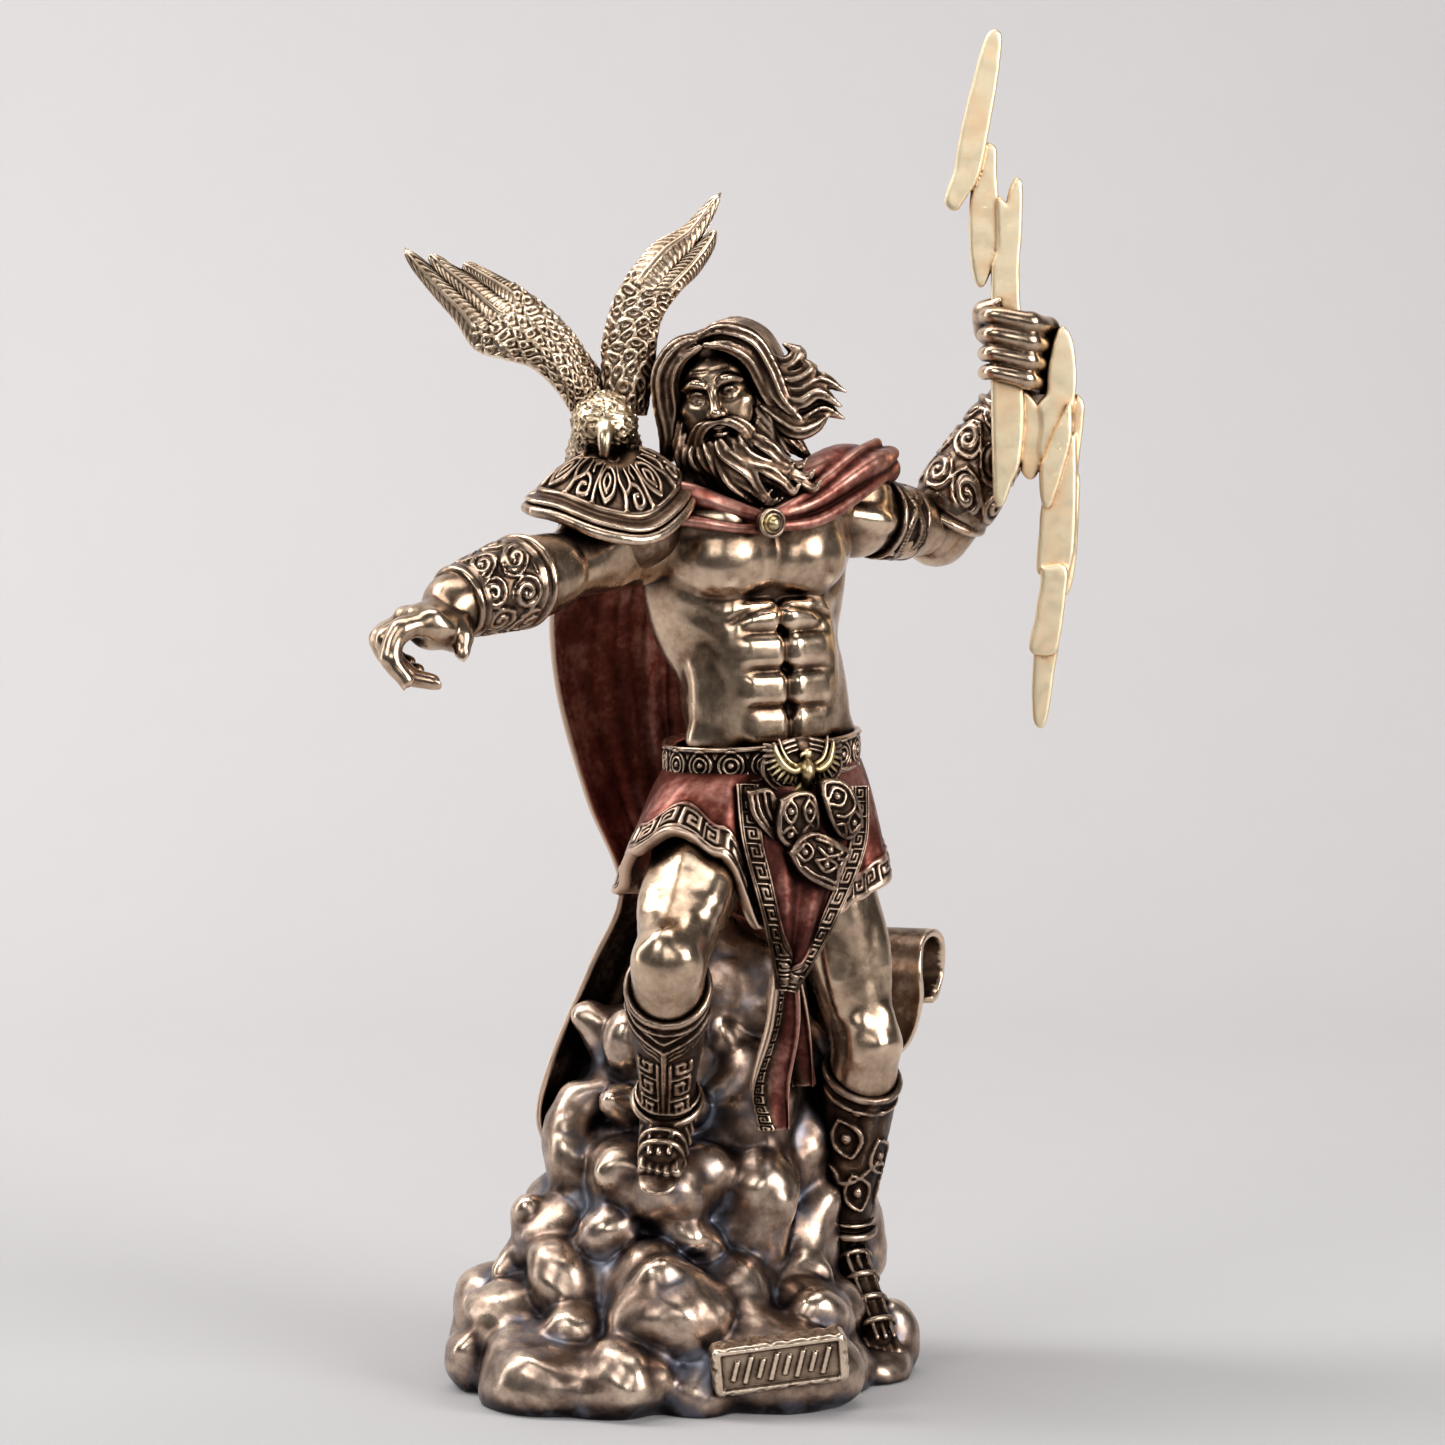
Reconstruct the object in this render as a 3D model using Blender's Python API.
"""A standing figurine of the Greek sky god, in bronze-coloured cast resin.

The bearded figure strides over a mound of cloud with a cape behind it, an eagle on its right
shoulder and a thunderbolt in its raised left fist. Two pieces: the figure, cast in one with its
cloud base, cape and eagle, and the thunderbolt, which is pushed through the fist.

+Z is up, -Y is the side that is looked at, and the origin is the middle of the flat underside.
"""

import math

import bmesh
import bpy
from mathutils import Matrix, Vector

# Driving sizes, in metres.
HEIGHT = 0.305  # underside to the tip of the thunderbolt
CAPE_THICKNESS = 0.0030
SKIRT_THICKNESS = 0.0028
HEM_THICKNESS = 0.0022
BELT_HEIGHT = 0.0075
BELT_THICKNESS = 0.0028
PAULDRON_THICKNESS = 0.0022
PLAQUE_LENGTH = 0.0290
PLAQUE_HEIGHT = 0.0096
PLAQUE_THICKNESS = 0.0030
STROKE_WIDTH = 0.0010
STROKE_DEPTH = 0.0008  # how proud of the plaque the strokes stand
BOLT_WIDTH = 0.0060  # across the shaft in the fist
BOLT_THICKNESS = 0.0042
BOLT_CLEARANCE = 0.0004  # all round the shaft, in the fist
DETAIL = 0.00090  # the finest form that the cast surface keeps
BOLT_DETAIL = 0.00045
STROKES = 8
STROKE_LEAN = 0.3

# Triangles that each piece is brought down to.
FIGURE_TRIANGLES = 8900
BOLT_TRIANGLES = 760

# The pose is written in figure millimetres, shares of the height.
MM = HEIGHT / 305
BODY_TURN = math.radians(30)  # the chest faces this far round to +X
HEAD_TURN = math.radians(-6)
HEAD_TILT = math.radians(-11)

PELVIS = Vector((20, 1, 133))
WAIST = Vector((20, -3, 152))
CHEST = Vector((17.5, -4, 180))
NECK = Vector((14.5, -4, 203))
HEAD = Vector((10.5, -8.5, 224))
RIGHT_SHOULDER = Vector((-7, -17, 193))
RIGHT_ELBOW = Vector((-26.5, -43, 187))
RIGHT_WRIST = Vector((-45.5, -62, 182))
LEFT_SHOULDER = Vector((40, 11, 196))
LEFT_ELBOW = Vector((61, 33, 191))
LEFT_WRIST = Vector((79.5, 34, 221))
RIGHT_HIP = Vector((10, -5, 131))
RIGHT_KNEE = Vector((-0.5, -42, 101))
RIGHT_ANKLE = Vector((-1, -15, 63))
RIGHT_TOE = Vector((-2.5, -28, 54))
LEFT_HIP = Vector((31, 6, 128))
LEFT_KNEE = Vector((44, 3, 76))
LEFT_ANKLE = Vector((38.5, 12, 28))
LEFT_TOE = Vector((47, -3, 8))
EAGLE = Vector((-15, -8, 212))
GRIP = Vector((77, 21, 233))
PLAQUE = Vector((23.8, -42, 12.6))

BRONZE = ((0.36, 0.23, 0.15, 1), 0.38, 1.0)  # colour, roughness, metallic
BRASS = ((0.66, 0.47, 0.26, 1), 0.42, 1.0)


# Small helpers.
def smooth_points(points, steps):
    """Points on a smooth curve through the given ones, which may be vectors or numbers."""
    ends = [points[0] * 2 - points[1], *points, points[-1] * 2 - points[-2]]
    found = []
    for i in range(1, len(ends) - 2):
        a, b, c, d = ends[i - 1 : i + 3]
        for step in range(steps):
            t = step / steps
            found.append(
                b
                + (c - a) * (t / 2)
                + (a * 2 - b * 5 + c * 4 - d) * (t * t / 2)
                + (b * 3 - a - c * 3 + d) * (t**3 / 2)
            )
    return [*found, ends[-2]]


def between(a, b, share):
    return a + (b - a) * share


def turned(turn, tilt=0.0, nod=0.0):
    """The axes (side, back, up) of something turned about Z, leant sideways and nodded forward."""
    return (
        Matrix.Rotation(turn, 3, "Z") @ Matrix.Rotation(tilt, 3, "Y") @ Matrix.Rotation(nod, 3, "X")
    )


def aimed(direction, near_up=(0, 0, 1)):
    """Axes whose third one points along the direction and whose second one is square to near_up."""
    third = Vector(direction).normalized()
    first = Vector(near_up).cross(third).normalized()
    return Matrix((first, third.cross(first), third)).transposed()


# What the clay is built from. Each adds one closed shell to a bmesh, in figure millimetres.
def ball(clay, centre, radii, axes=None, finer=0):
    """An ellipsoid with its radii along the three axes."""
    place = Matrix.Translation(Vector(centre) * MM) @ (axes or Matrix.Identity(3)).to_4x4()
    place = place @ Matrix.Diagonal((*[r * MM for r in radii], 1))
    bmesh.ops.create_icosphere(clay, subdivisions=2 + finer, radius=1, matrix=place)


def tube(clay, points, radii, flatness=1.0, flat=None, steps=4, sides=10):
    """A round-ended tube along a smooth curve, thinner along flat where flatness is under 1."""
    points = smooth_points([Vector(p) for p in points], steps)
    radii = smooth_points(list(radii), steps)
    side = Vector(flat) if flat is not None else Vector((0.31, 0.17, 0.93))
    rings = []
    last = len(points) - 1
    for i, centre in enumerate(points):
        along = (points[min(i + 1, last)] - points[max(i - 1, 0)]).normalized()
        side = (side - along * side.dot(along)).normalized()
        if flat is not None:
            side = (Vector(flat) - along * Vector(flat).dot(along)).normalized()
        across = along.cross(side)
        rings.append((centre, side, across, max(radii[i], 0.15), along))
    start, end = rings[0], rings[-1]
    capped = [(start, -0.8, 0.6), *[(ring, 0, 1) for ring in rings], (end, 0.8, 0.6)]
    loops = []
    for (centre, side, across, radius, along), shift, share in capped:
        middle = centre + along * (shift * radius)
        loop = []
        for k in range(sides):
            angle = math.tau * k / sides
            out = side * (math.cos(angle) * flatness) + across * math.sin(angle)
            loop.append(clay.verts.new((middle + out * (radius * share)) * MM))
        loops.append(loop)
    for low, high in zip(loops, loops[1:]):
        for k in range(sides):
            after = (k + 1) % sides
            clay.faces.new((low[k], low[after], high[after], high[k]))
    clay.faces.new(loops[0][::-1])
    clay.faces.new(loops[-1])


def sheet(clay, place, thickness, across, down):
    """A sheet of the given thickness on both sides of place(u, v), for u and v from 0 to 1."""
    grid = [[place(i / across, j / down) for i in range(across + 1)] for j in range(down + 1)]
    front, back = [], []
    for j in range(down + 1):
        front.append([])
        back.append([])
        for i in range(across + 1):
            sideways = grid[j][min(i + 1, across)] - grid[j][max(i - 1, 0)]
            downward = grid[min(j + 1, down)][i] - grid[max(j - 1, 0)][i]
            half = sideways.cross(downward).normalized() * (thickness / MM / 2)
            front[j].append(clay.verts.new((grid[j][i] + half) * MM))
            back[j].append(clay.verts.new((grid[j][i] - half) * MM))
    for j in range(down):
        for i in range(across):
            clay.faces.new((front[j][i], front[j + 1][i], front[j + 1][i + 1], front[j][i + 1]))
            clay.faces.new((back[j][i], back[j][i + 1], back[j + 1][i + 1], back[j + 1][i]))
    rim = [(0, i) for i in range(across)] + [(j, across) for j in range(down)]
    rim += [(down, across - i) for i in range(across)] + [(down - j, 0) for j in range(down)]
    for (j, i), (k, m) in zip(rim, rim[1:] + rim[:1]):
        clay.faces.new((front[j][i], front[k][m], back[k][m], back[j][i]))


def slab(clay, centre, size, axes):
    """A box of the given size in metres, with its sides along the axes."""
    place = Matrix.Translation(Vector(centre) * MM) @ axes.to_4x4() @ Matrix.Diagonal((*size, 1))
    bmesh.ops.create_cube(clay, size=1, matrix=place)


# The figure's sub-parts.
def torso(clay):
    body = turned(BODY_TURN)

    def at(side, front, height):
        """A point of the torso, from its middle line at the chest's height above the ground."""
        spine = between(WAIST, CHEST, (height - WAIST.z) / (CHEST.z - WAIST.z))
        return spine.xy.to_3d() + Vector((0, 0, height)) + body @ Vector((side, -front, 0))

    ball(clay, at(0, 0, 181), (23.5, 14.5, 22), body, 1)
    ball(clay, at(0, 0, 157), (20.5, 14.0, 21), body, 1)
    ball(clay, PELVIS, (20.5, 15.5, 15), body, 1)
    ball(clay, PELVIS + Vector((-6, -20, -4)), (10, 9, 8))
    for side in (-1, 1):
        ball(clay, at(side * 10.5, 10.0, 184), (12.0, 7.0, 10.0), turned(BODY_TURN, side * 0.25))
        ball(clay, at(side * 17, -2, 178), (8.0, 12.0, 18.0), turned(BODY_TURN, side * 0.22))
        tube(clay, [NECK + Vector((0, 2, 4)), at(side * 12, -2, 201), at(side * 24, -1, 197)],
             [7, 6.5, 6.5])
        ball(clay, at(side * 16.5, 3, 151), (6.5, 8.5, 7.5), body)
        for row, (height, wide) in enumerate(((171, 5.2), (163.5, 5.4), (156.5, 5.2))):
            ball(clay, at(side * 5.2, 12.6 - 0.3 * row, height), (wide, 3.6, 3.9), body)
        ball(clay, at(side * 4.6, 11.6, 148.5), (5.0, 3.4, 5.5), body)
        for rib in range(3):
            middle = at(side * (17.5 - 1.6 * rib), 7.5 + 0.9 * rib, 172 - 5.2 * rib)
            ball(clay, middle, (4.2, 3.4, 2.6), turned(BODY_TURN, side * 0.6))


def arm(clay, shoulder, elbow, wrist, thick):
    """A bare upper arm, and a bracer with raised rims over the forearm."""
    ball(clay, shoulder, (10.2 * thick, 10.0 * thick, 10.6 * thick))
    middle = between(shoulder, elbow, 0.5)
    tube(clay, [shoulder, middle, elbow], [9.6 * thick, 9.6 * thick, 7.8 * thick])
    along = (wrist - elbow).normalized()
    tube(clay, [elbow, between(elbow, wrist, 0.35), wrist], [8.6 * thick, 9.2 * thick, 6.6 * thick])
    for share, radius in ((0.14, 10.2), (0.86, 7.9)):
        centre = between(elbow, wrist, share)
        tube(clay, [centre - along * 0.8, centre + along * 0.8], [radius * thick] * 2, steps=1, sides=14)


def open_hand(clay):
    """The right hand: palm down, fingers hooked, thumb hanging."""
    palm = Vector((-50.5, -70, 177.5))
    ball(clay, palm, (7.4, 8.4, 5.2), aimed((0.30, 0.15, 0.93), (0, 1, 0)))
    tube(clay, [RIGHT_WRIST, palm], [6.6, 6.0])
    ball(clay, (-45.5, -69, 176.0), (4.2, 5.0, 5.0))
    tube(clay, [(-50, -75, 178.0), (-57, -78, 177), (-58.4, -80, 171.5), (-54.6, -80.5, 167)],
         [3.0, 2.9, 2.7, 2.2])
    tube(clay, [(-53, -72, 178), (-60, -74, 174.5), (-55, -74.5, 167.5), (-49, -74.5, 166)],
         [2.9, 2.8, 2.5, 2.1])
    tube(clay, [(-55, -69, 178), (-61.5, -70, 174.5), (-57.5, -70, 168.5), (-53, -70, 168)],
         [2.8, 2.7, 2.3, 2.0])
    tube(clay, [(-55, -66, 178.5), (-61, -66, 175.5), (-58.5, -66, 170.5), (-55, -66.5, 169.5)],
         [2.6, 2.5, 2.1, 1.8])
    tube(clay, [(-44.6, -68.5, 178), (-43.6, -71.5, 175), (-43.8, -73, 173.6)], [3.2, 2.6, 2.3])


def fist(clay):
    """The left hand, its fingers wrapped round the front of the shaft."""
    ball(clay, GRIP + Vector((4.0, 7.0, -1)), (6.4, 5.4, 8.6), turned(0.4))
    tube(clay, [LEFT_WRIST, GRIP + Vector((4.0, 9.0, -3))], [6.4, 6.2])
    for k in range(4):
        height = 6.6 - 4.3 * k
        knuckle = GRIP + Vector((7.6 - 0.5 * k, 2.0, height - 1.4))
        front = GRIP + Vector((1.6, -4.6, height))
        tip = GRIP + Vector((-5.6, -1.4, height - 0.6))
        tube(clay, [knuckle, front, tip, tip + Vector((1.6, 4.2, 0))], [2.6, 2.6, 2.3, 2.0], sides=8)
    tube(clay, [GRIP + Vector((1, 8, 2)), GRIP + Vector((-5, 6, 5)), GRIP + Vector((-5, 1, 8))],
         [3, 2.6, 2.2])


def head(clay):
    axes = turned(HEAD_TURN, HEAD_TILT)

    def at(side, front, up):
        return HEAD + axes @ Vector((side, -front, up))

    tube(clay, [NECK - Vector((0, 0, 6)), HEAD + Vector((1, 3, -8))], [8.4, 7.8])
    ball(clay, at(0, -1.0, 2.5), (11.2, 13.0, 13.2), axes, 1)
    ball(clay, at(0, 4.0, -4.5), (9.0, 9.6, 13.0), axes, 1)
    ball(clay, at(10, -6, -10), (5.5, 6.0, 8.0), axes)
    ball(clay, at(17, -2, -20), (6.0, 6.0, 6.0), axes)
    tube(clay, [at(0, 12.0, 1.5), at(0, 14.6, -3.0), at(0, 15.2, -4.4)], [1.0, 1.5, 1.9], sides=8)
    for side in (-1, 1):
        tube(clay, [at(side * 1.8, 12.6, 2.6), at(side * 5.2, 12.0, 3.6), at(side * 8.2, 9.0, 2.2)],
             [1.4, 1.6, 1.1])
        ball(clay, at(side * 3.9, 10.6, 0.0), (2.3, 2.0, 1.5), axes)
        ball(clay, at(side * 5.4, 9.4, -4.6), (3.3, 3.6, 3.0), axes)
        tube(clay, [at(side * 0.6, 13.2, -7.0), at(side * 4.0, 12.0, -8.6), at(side * 6.4, 9.5, -13)],
             [1.7, 1.9, 1.2])
    ball(clay, at(0, 12.2, -10.6), (2.9, 1.8, 1.2), axes)
    for lock in hair_locks():
        tube(clay, [at(*p) for p in lock[0]], lock[1], steps=5, sides=8)


def hair_locks():
    """Locks of hair, moustache and beard as (points, radii), about the head's middle."""
    locks = []
    # Swept back from the parting on both sides, down to the neck on the right.
    for k in range(5):
        back = 7.5 - 4.6 * k
        locks.append(([(-1.5, back + 3, 12.5), (-8.5, back + 1.5, 11.0), (-12.5, back - 1, 4),
                       (-12.6, back - 3, -6),
                       (-13.6, back - 3.5, -15)], [1.6, 2.8, 3.0, 3.0, 1.3]))
        locks.append(([(-1.0, back + 3, 13.0), (6.5, back + 2.5, 13.4), (12.0, back, 8),
                       (13.6, back - 3, -1),
                       (16.5, back - 4, -8)], [1.6, 3.0, 3.2, 3.0, 1.8]))
    # Blown out to the left, in three curled tongues.
    locks.append(([(11, 4, 6), (15.5, 2, 1.5), (18.5, 1, 5.5), (16.5, 0, 8.5)], [3.0, 3.2, 2.8, 1.2]))
    locks.append(([(12, 3, 0), (17, 2, -3.0), (23, 1, -1.5), (27.5, 0, -5.5)], [3.2, 3.2, 2.8, 1.0]))
    locks.append(([(12, 2, -6), (17, 1, -9.0), (22, 0, -8), (26, -1, -11)], [3.0, 3.0, 2.4, 1.0]))
    locks.append(([(8, -8, 0), (10, -12, -10), (14, -12, -20)], [5, 5.5, 2.0]))
    locks.append(([(-6, -9, 0), (-6, -12, -10), (-8, -11, -20)], [5, 5.5, 2.0]))
    # The beard: a fan of wavy locks from cheek to cheek.
    for k in range(7):
        swing = (k - 3) / 3
        locks.append(([(7.8 * swing, 10.4 - 4.2 * abs(swing), -8.5 - 3 * (1 - abs(swing))),
                       (9.4 * swing + 1.0, 12.4 - 4 * abs(swing), -15),
                       (9.4 * swing + 2.6, 12.4 - 3 * abs(swing), -21.5),
                       (10.5 * swing + 5.0, 11.5 - 2 * abs(swing), -26.5 + 2 * abs(swing))],
                      [2.8, 4.0, 3.4, 1.3]))
    return locks


def leg(clay, hip, knee, ankle, toe, thick):
    """A bare thigh and knee, a greave with a flared top over the shin, and a sandalled foot."""
    forward = (toe - ankle).normalized()
    tube(clay, [hip, between(hip, knee, 0.5), knee], [12.6 * thick, 11.6 * thick, 8.6 * thick], sides=12)
    ball(clay, knee, (8.2 * thick,) * 3)
    calf = between(knee, ankle, 0.3) + Vector((0, 1.6, 0))
    tube(clay, [knee, calf, between(knee, ankle, 0.75), ankle],
         [8.0 * thick, 7.8 * thick, 6.2 * thick, 5.6 * thick])
    down = (ankle - knee).normalized()
    for share, radius in ((0.19, 10.2), (0.90, 7.6)):
        centre = between(knee, ankle, share)
        tube(clay, [centre - down * 0.9, centre + down * 0.9], [radius * thick] * 2, steps=1, sides=14)
    tube(clay, [ankle + Vector((0, 2, -2)), between(ankle, toe, 0.55), toe], [5.4, 5.4, 4.0], sides=10)
    side = forward.cross(Vector((0, 0, 1))).normalized()
    for k in range(5):
        root = toe + side * (3.4 * (k - 2) / 2) - forward * 1.0
        tube(clay, [root, root + forward * (4.2 - 0.5 * abs(k - 1))], [1.7, 1.4], sides=8)


def waist_ring(share, out, height):
    """A point round the waist: share 0 is the front, positive towards the figure's left."""
    angle = math.tau * share
    lean = 1.2 * math.sin(angle)
    spot = Vector(((21.2 + out) * math.sin(angle), -(16.8 + out) * math.cos(angle), height + lean))
    return Vector((20.2, -1.5, 0)) + turned(BODY_TURN) @ spot


def belt(clay):
    middle = 143.0
    half = BELT_HEIGHT / MM / 2

    def band(u, v):
        return waist_ring(u * 1.02, 0.8, middle + half - 2 * half * v)

    sheet(clay, band, BELT_THICKNESS, 40, 2)
    for rim in (-half, half):
        path = [waist_ring(k / 12, 2.1, middle + rim) for k in range(13)]
        tube(clay, path, [1.1] * 13, steps=3, sides=6)
    for k in range(3, 20):
        ball(clay, waist_ring(k * 0.045, 2.6, middle), (1.9, 1.9, 1.9))


def buckle(clay):
    """A spread eagle on a rounded plate, at the front of the belt."""
    face = turned(BODY_TURN)
    centre = waist_ring(0, 3.2, 141.5)
    ball(clay, centre, (10.2, 2.4, 6.4), face, 1)
    ball(clay, centre + face @ Vector((0, -2.2, -0.5)), (1.9, 1.9, 3.6), face)
    ball(clay, centre + face @ Vector((0, -2.4, 3.6)), (1.4, 1.4, 1.4), face)
    ball(clay, centre + face @ Vector((0, -2.2, -5.2)), (3.0, 1.1, 2.0), face)
    for side in (-1, 1):
        path = [face @ Vector((side * x, -2.2, z)) for x, z in ((1.2, -0.2), (5.4, -0.6), (8.4, 4.6))]
        tube(clay, [centre + p for p in path], [1.3, 1.9, 0.8], sides=8)


def skirt(clay):
    """The kilt: round the hips from belt to hem, lifted in front by the raised thigh."""
    # Round the waist, front to front past the figure's left: share of the turn, drop, stand-off.
    hem = ((0.0, 35, 3), (0.083, 31, 5), (0.167, 27, 7.5), (0.25, 26, 8), (0.333, 29, 6), (0.5, 31, 6),
           (0.6, 30, 7), (0.70, 28, 11), (0.78, 17, 15), (0.83, 12, 14), (0.879, 17, 13), (0.921, 34, 6),
           (1.0, 35, 3), (1.083, 31, 5))

    def hem_at(share):
        for low, high in zip(hem, hem[1:]):
            if share <= high[0]:
                step = (share - low[0]) / (high[0] - low[0])
                step = step * step * (3 - 2 * step)
                return low[1] + (high[1] - low[1]) * step, low[2] + (high[2] - low[2]) * step
        return hem[-1][1], hem[-1][2]

    def place(u, v):
        share = u * 1.02
        drop, out = hem_at(share)
        fold = 0.9 * v * math.sin(9 * math.tau * share)
        return waist_ring(share, 0.4 + (out + fold) * v**0.8, 141 - drop * v**1.15)

    sheet(clay, place, SKIRT_THICKNESS, 60, 8)
    border = [place(k / 30, 1) for k in range(31)]
    tube(clay, border, [HEM_THICKNESS / MM] * 31, steps=2, sides=6)


def front_flap(clay):
    """Two shield-shaped plates hung from the buckle, over the long sash with its two bordered edges."""
    face = turned(BODY_TURN)
    top = waist_ring(0.02, 4.2, 136)
    ball(clay, top + Vector((1.5, 0, -4)), (7.6, 2.4, 8.0), face)
    ball(clay, top + Vector((6.5, 0, -8)), (6.0, 2.4, 10.0), face)
    tube(clay, [top + Vector((4, -1, -8)), top + Vector((8.5, -2.5, -17)),
                top + Vector((7.5, -2.5, -21))],
         [6.4, 4.2, 1.2], 0.35, face @ Vector((0, -1, 0)))

    def cloth(u, v):
        """A triangle from the belt down to a point between the legs."""
        left, right = Vector((8.5, -20, 131)), Vector((38, -12, 116))
        low = Vector((20.5, -17, 90))
        upper = between(left, right, u)
        point = between(upper, low + Vector((3 * (u - 0.5), 0, 0)), v)
        return point + Vector((0, -2.5 * math.sin(math.pi * u) + 1.2 * math.sin(12 * u) * (1 - v), 0))

    sheet(clay, cloth, SKIRT_THICKNESS, 14, 8)
    for u in (0.0, 1.0):
        path = [cloth(u, k / 5) for k in range(6)]
        tube(clay, path, [1.9] * 6, 0.6, (0, 1, 0), steps=2, sides=6)
    tail = [(20.5, -17, 93), (23.5, -14, 80), (21.5, -12, 68), (23, -13, 59)]
    tube(clay, tail, [2.6, 3.4, 4.2, 3.6], 0.45, (0.2, 1, 0))
    tube(clay, [(20.5, -16, 96), (24, -10, 84), (30, -5, 68)], [2.6, 4.6, 2.4], 0.55, (0.3, 1, 0))


def cape_edges():
    """The cape's left and right edges from the shoulders to the hem."""
    left = [(-24, 4, 192), (-27.5, 8, 176), (-26, 11, 155), (-19.5, 13, 131), (-12, 15, 110),
            (-19, 15, 92),
            (-27.5, 13, 72), (-31, 11, 58), (-27, 9, 47)]
    right = [(38, 18, 199), (36, 23, 170), (33, 27, 142), (33, 28, 124), (41, 28, 111), (56, 26, 100),
             (61.5, 22, 93),
             (57, 23, 80), (50, 24, 71), (44, 24, 60)]
    return [Vector(p) for p in left], [Vector(p) for p in right]


def cape_place():
    left, right = (smooth_points(edge, 6) for edge in cape_edges())
    last = len(left) - 1

    def place(u, v):
        a, b = left[round(v * last)], right[round(v * last)]
        bulge = (10 + 10 * v) * math.sin(math.pi * u) ** 0.8
        fold = (0.6 + 2.6 * v) * math.sin(2.6 * math.tau * u + 2.0 * v) * math.sin(math.pi * u) ** 0.5
        return between(a, b, u) + Vector((0, bulge + fold, 0))

    return place, last


def cape(clay):
    place, last = cape_place()
    sheet(clay, place, CAPE_THICKNESS, 30, last)
    # The collar: a thick roll from the clasp round both shoulders.
    collar = [(-8, -21, 201), (2, -22, 202), (12, -21, 199), (21.8, -21, 196.5)]
    tube(clay, collar, [4.6, 4.2, 3.0, 2.6], 0.7, (0, 0.5, 1))
    tube(clay, [(22.5, -20.5, 197), (32, -12, 200), (43, -1, 207), (47, 6, 209)], [2.8, 4.4, 5.6, 4.6],
         0.6, (0, 0.6, 1))
    tube(clay, [(28, -10, 206), (38, 2, 209), (46, 12, 206)], [4.0, 5.5, 5.5], 0.7, (0, 0.3, 1))
    tube(clay, [(46, 12, 206), (30, 17, 203), (8, 17, 201), (-14, 8, 200), (-22, 3, 193)],
         [6, 5.5, 5.5, 5.5, 4], 0.8)
    ball(clay, (21.8, -23.5, 196.5), (3.2, 2.2, 3.2))
    # The curl of its right-hand corner.
    curl = [(50, 27, 98), (58, 22, 97), (63, 20, 92), (61, 22, 84), (55, 25, 82)]
    tube(clay, curl, [2.4, 2.6, 2.4, 2.2, 1.8], 1.0)


def pauldron(clay):
    """A shell over the right shoulder whose rim stands off the arm at its outer end."""
    rim = [(-31.5, -33, 200.5), (-24.5, -41, 199), (-15, -43.5, 195.5), (-4.5, -40, 194), (3, -30, 199),
           (4, -18, 204), (-4, -6, 205), (-16, -3, 204), (-27, -14, 203)]
    rim = [Vector(p) for p in rim]
    loop = smooth_points([rim[-1], *rim, rim[0], rim[1]], 4)[4:-4]
    last = len(loop) - 1
    apex = Vector((-13, -21, 209))

    def place(u, v):
        edge = loop[round(u * last)]
        return between(apex, edge, 0.06 + 0.94 * v) + Vector((0, 0, 4.2 * math.sin(math.pi * v**0.8)))

    ball(clay, (-11, -20, 196), (14, 15, 12), turned(-0.7), 1)
    sheet(clay, place, PAULDRON_THICKNESS, last, 6)
    tube(clay, loop, [1.35] * len(loop), steps=1, sides=6)


def wing(clay, root, middle, tip, width, front):
    """A raised wing: a flat tongue with four rows of feathers ending in separate tips."""
    root, middle, tip = Vector(root), Vector(middle), Vector(tip)
    trail = (tip - root).cross(Vector(front)).normalized()
    tube(clay, [root, middle, between(middle, tip, 0.55)], [4.4, width, width * 0.8], 0.42, front)
    for k in range(4):
        share = k / 3
        start = between(root, middle, 0.55 + 0.2 * share) + trail * (width * (0.5 - share))
        end = between(middle, tip, 1 - 0.16 * k) + trail * (width * (0.35 - 0.5 * share))
        tube(clay, [start, between(start, end, 0.6) + trail * 0.6, end], [2.6, 2.6, 1.5], 0.5, front,
             sides=8)


def eagle(clay):
    ball(clay, EAGLE + Vector((0, 1, -2)), (8.2, 8.6, 11.5), turned(0, 0.1), 1)
    ball(clay, EAGLE + Vector((0, -6, 5)), (6.6, 6.4, 7.0), None, 1)
    tube(clay, [EAGLE + Vector((0.4, -11.5, 5)), EAGLE + Vector((0.4, -13.6, 2)),
                EAGLE + Vector((0.3, -13.4, -1))],
         [2.2, 1.7, 0.6])
    tube(clay, [EAGLE + Vector((1, 5, -4)), EAGLE + Vector((2, 10, -14))], [7, 4], 0.6, (0, 1, 0))
    for side in (-1, 1):
        tube(clay, [EAGLE + Vector((4 * side, -4, -8)), EAGLE + Vector((5 * side, -8, -14))], [3.2, 2.4])
    wing(clay, (-19, -3, 222), (-39, -2, 239), (-57, 2, 254), 7.4, (0.15, 1, 0.1))
    wing(clay, (-10, -2, 223), (-6, 1, 245), (10, 6, 266), 6.2, (0.35, 1, 0.0))


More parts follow.
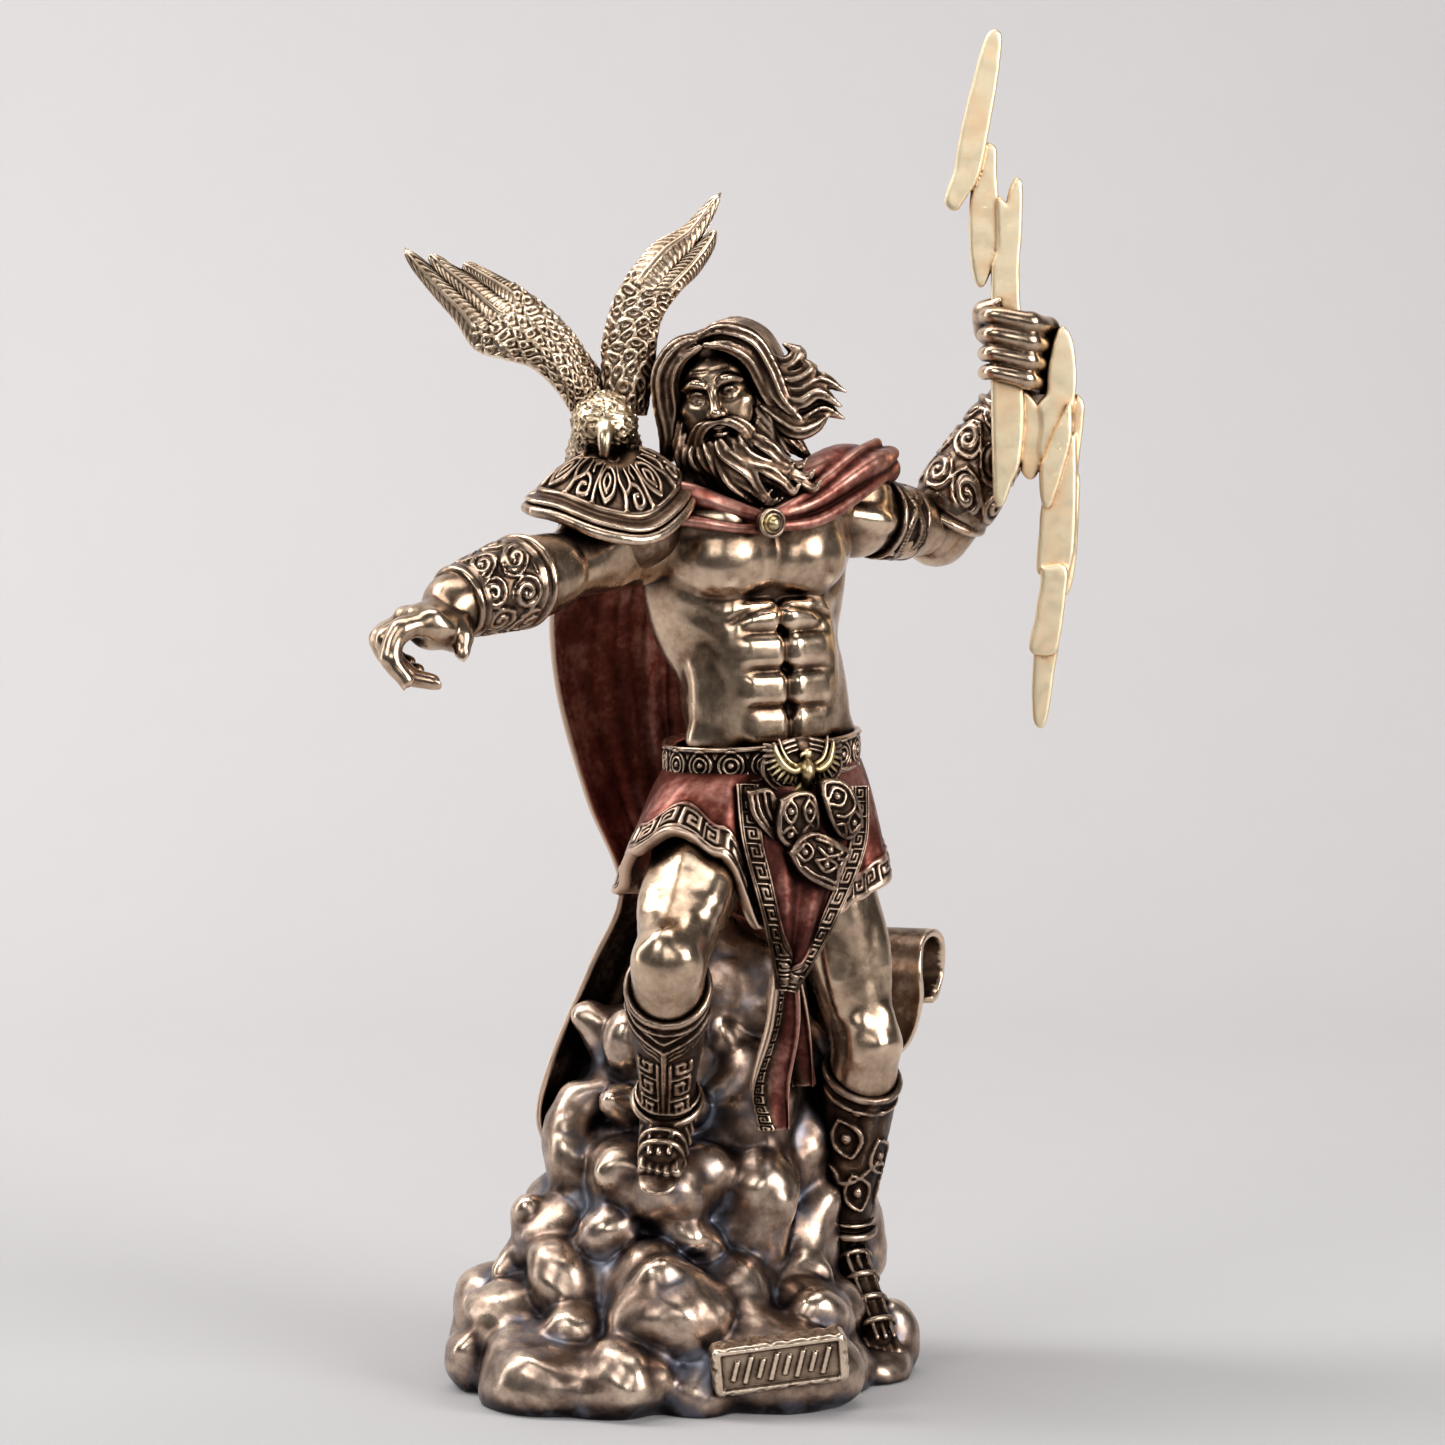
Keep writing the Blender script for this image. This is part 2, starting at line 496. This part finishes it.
def cloud_mound(clay):
    """A mound of cloud puffs in rings, narrowing to a column between cape and legs."""
    for centre, radii in (((-2, -1, 6), (45, 40, 15)), ((-3, 4, 22), (35, 30, 18)),
                          ((-2, 6, 42), (25, 20, 20)),
                          ((2, 12, 62), (21, 14, 24)), ((8, 16, 84), (17, 10, 22))):
        ball(clay, centre, radii, None, 1)
    # Each ring: height, half width, half depth, puffs, puff radius, turn of the first.
    rings = ((5, 41, 37, 13, 10.5, 0.1), (14, 37, 32, 12, 9.0, 0.5), (24, 32, 27, 10, 8.2, 0.2),
             (35, 26, 22, 9, 8.0, 0.7), (48, 22, 18, 8, 7.2, 0.3), (62, 19, 14, 8, 6.2, 0.9),
             (77, 15, 11, 7, 5.4, 0.2))
    for level, (height, wide, deep, count, radius, first) in enumerate(rings):
        for k in range(count):
            angle = first + math.tau * k / count
            grow = radius * (1 + 0.22 * math.sin(5 * k + 2 * level))
            middle = (-3 + 0.06 * height + wide * math.cos(angle),
                      1 + 0.12 * height + deep * math.sin(angle), height)
            ball(clay, middle, (grow, grow, grow * 0.92))
    # The large smooth lobes at the front, the plaque's own, the left foot's and the one behind it.
    lobes = (
        ((0, -30, 20), (14, 12, 12)), ((24, -29, 8), (19, 14, 12)), ((-28, -35, 6), (12, 10, 9)),
        ((43, 4, 2), (12, 16, 7)), ((50, 6, 8), (6, 7, 9)), ((43, 17, 28), (6, 7, 12)),
        ((40, 18, 42), (5, 6, 7)), ((-1, -14, 46), (11, 12, 9)), ((-22, 6, 52), (8, 9, 14)),
        ((20, -8, 44), (9, 10, 10)), ((27, 6, 50), (9, 9, 14)),
        ((15, -6, 36), (9, 9, 8)), ((12, 0, 54), (8, 9, 9)), ((28, 4, 30), (10, 12, 12)),
        ((41, 15, 35), (5.5, 7, 7)), ((19, 2, 62), (10, 12, 15)), ((28, 14, 66), (9, 9, 16)),
        ((18, 12, 82), (13, 10, 18)),
    )
    for centre, radii in lobes:
        ball(clay, centre, radii, None, 1)


def plaque(clay):
    """A slab set in the front of the mound, with rows of shallow strokes that are no letters."""
    axes = turned(math.radians(8), math.radians(-6), math.radians(12))
    slab(clay, PLAQUE, (PLAQUE_LENGTH, PLAQUE_THICKNESS * 2, PLAQUE_HEIGHT), axes)
    lean = axes @ Matrix.Rotation(STROKE_LEAN, 3, "Y")
    step = PLAQUE_LENGTH * 0.62 / (STROKES - 1)
    for k in range(STROKES):
        spot = Vector(((k - (STROKES - 1) / 2) * step, -PLAQUE_THICKNESS, 0)) / MM
        long = 0.52 if k % 2 else 0.34
        slab(clay, PLAQUE + axes @ spot, (STROKE_WIDTH, 2 * STROKE_DEPTH, PLAQUE_HEIGHT * long), lean)


# The thunderbolt: shards in one plane, each as top, bottom and half width across.
def bolt_shards():
    y = GRIP.y
    half = BOLT_WIDTH / MM / 2
    return (
        ((73.0, y, 304.4), (65.0, y, 266.0), 3.0),
        ((72.6, y, 277.5), (71.0, y, 248.4), 2.9),
        ((78.4, y, 270.5), (76.0, y, 236.0), half),
        ((76.2, y, 250.0), (75.8, y, 199.5), half),
        ((79.0, y, 222.0), (82.0, y, 205.6), 2.6),
        ((89.6, y, 237.0), (83.5, y, 213.6), 3.2),
        ((90.6, y, 231.0), (85.5, y, 199.6), 3.1),
        ((93.4, y, 222.5), (89.2, y, 190.6), 2.7),
        ((92.6, y + 1, 204.5), (90.2, y + 1, 179.0), 2.1),
        ((89.4, y, 205.0), (86.6, y, 184.0), 4.0),
        ((88.6, y, 189.0), (84.8, y, 166.0), 3.4),
        ((87.0, y, 171.0), (84.4, y, 149.0), 2.7),
    )


def shard(clay, top, bottom, half, grow=0.0):
    """A long leaf, blunt at one end and flat from front to back."""
    top, bottom = Vector(top), Vector(bottom)
    half += grow
    stations = ((0.0, 0.25), (0.14, 0.75), (0.4, 1.0), (0.75, 0.95), (1.0, 0.32))
    path = [between(top, bottom, share) for share, _ in stations]
    flatness = (BOLT_THICKNESS / MM / 2 + grow) / half
    tube(clay, path, [half * wide for _, wide in stations], flatness, (0, 1, 0), steps=3, sides=8)


def thunderbolt(clay, grow=0.0):
    for top, bottom, half in bolt_shards():
        shard(clay, top, bottom, half, grow)
    # The crooked joints between the upper shaft, the middle tooth and the right-hand run.
    y = GRIP.y
    for path, radius in ((((77.5, y, 216), (81, y, 218.5), (83, y, 214)), 2.0),
                         (((81, y, 210), (85, y, 213), (88, y, 218)), 2.2),
                         (((73, y, 262), (75.5, y, 259), (77, y, 256)), 2.0),
                         (((70.6, y, 271), (71.5, y, 273)), 2.0)):
        tube(clay, path, [radius + grow] * len(path), 0.8, (0, 1, 0), sides=8)


def material(name, look):
    made = bpy.data.materials.new(name)
    made.use_nodes = True
    shader = made.node_tree.nodes["Principled BSDF"]
    colour, roughness, metallic = look
    shader.inputs["Base Color"].default_value = colour
    shader.inputs["Roughness"].default_value = roughness
    shader.inputs["Metallic"].default_value = metallic
    return made


def object_of(name, sculpt, look):
    clay = bmesh.new()
    for step in sculpt:
        step(clay)
    bmesh.ops.recalc_face_normals(clay, faces=clay.faces)
    mesh = bpy.data.meshes.new(name)
    clay.to_mesh(mesh)
    clay.free()
    made = bpy.data.objects.new(name, mesh)
    bpy.context.scene.collection.objects.link(made)
    mesh.materials.append(material(name, look))
    return made


def cast(made, detail, triangles):
    """Fuses the shells into one skin, softens it, and brings it down to about that many triangles."""
    fuse = made.modifiers.new("Fuse", "REMESH")
    fuse.mode = "VOXEL"
    fuse.voxel_size = detail
    soften = made.modifiers.new("Soften", "SMOOTH")
    soften.factor = 0.5
    soften.iterations = 3
    faces = len(made.evaluated_get(bpy.context.evaluated_depsgraph_get()).data.polygons)
    thin = made.modifiers.new("Thin", "DECIMATE")
    thin.ratio = triangles / (2 * faces)
    thin.use_collapse_triangulate = True


def cutter_of(helper, cut):
    """Cuts the helper away from the given object, and hides it."""
    helper.hide_render = True
    helper.display_type = "WIRE"
    modifier = cut.modifiers.new(helper.name, "BOOLEAN")
    modifier.operation = "DIFFERENCE"
    modifier.object = helper


def below_ground(clay):
    depth = 40
    slab(clay, (0, 0, -depth / 2), (200 * MM, 200 * MM, depth * MM), Matrix.Identity(3))


def main():
    for old in list(bpy.data.objects):
        bpy.data.objects.remove(old)
    figure = object_of(
        "figure",
        (torso, lambda c: arm(c, RIGHT_SHOULDER, RIGHT_ELBOW, RIGHT_WRIST, 1.03),
         lambda c: arm(c, LEFT_SHOULDER, LEFT_ELBOW, LEFT_WRIST, 0.95), open_hand, fist, head,
         lambda c: leg(c, RIGHT_HIP, RIGHT_KNEE, RIGHT_ANKLE, RIGHT_TOE, 1.0),
         lambda c: leg(c, LEFT_HIP, LEFT_KNEE, LEFT_ANKLE, LEFT_TOE,
                       0.95), belt, buckle, skirt, front_flap, cape,
         pauldron, eagle, cloud_mound, plaque),
        BRONZE,
    )
    cast(figure, DETAIL, FIGURE_TRIANGLES)
    cutter_of(object_of("ground_cutter", [below_ground], BRONZE), figure)
    room = object_of("shaft_cutter", [lambda c: thunderbolt(c, BOLT_CLEARANCE / MM)], BRASS)
    cast(room, BOLT_DETAIL, BOLT_TRIANGLES)
    cutter_of(room, figure)
    bolt = object_of("thunderbolt", [thunderbolt], BRASS)
    cast(bolt, BOLT_DETAIL, BOLT_TRIANGLES)
    for made in (figure, bolt):
        made.data.shade_smooth()


main()
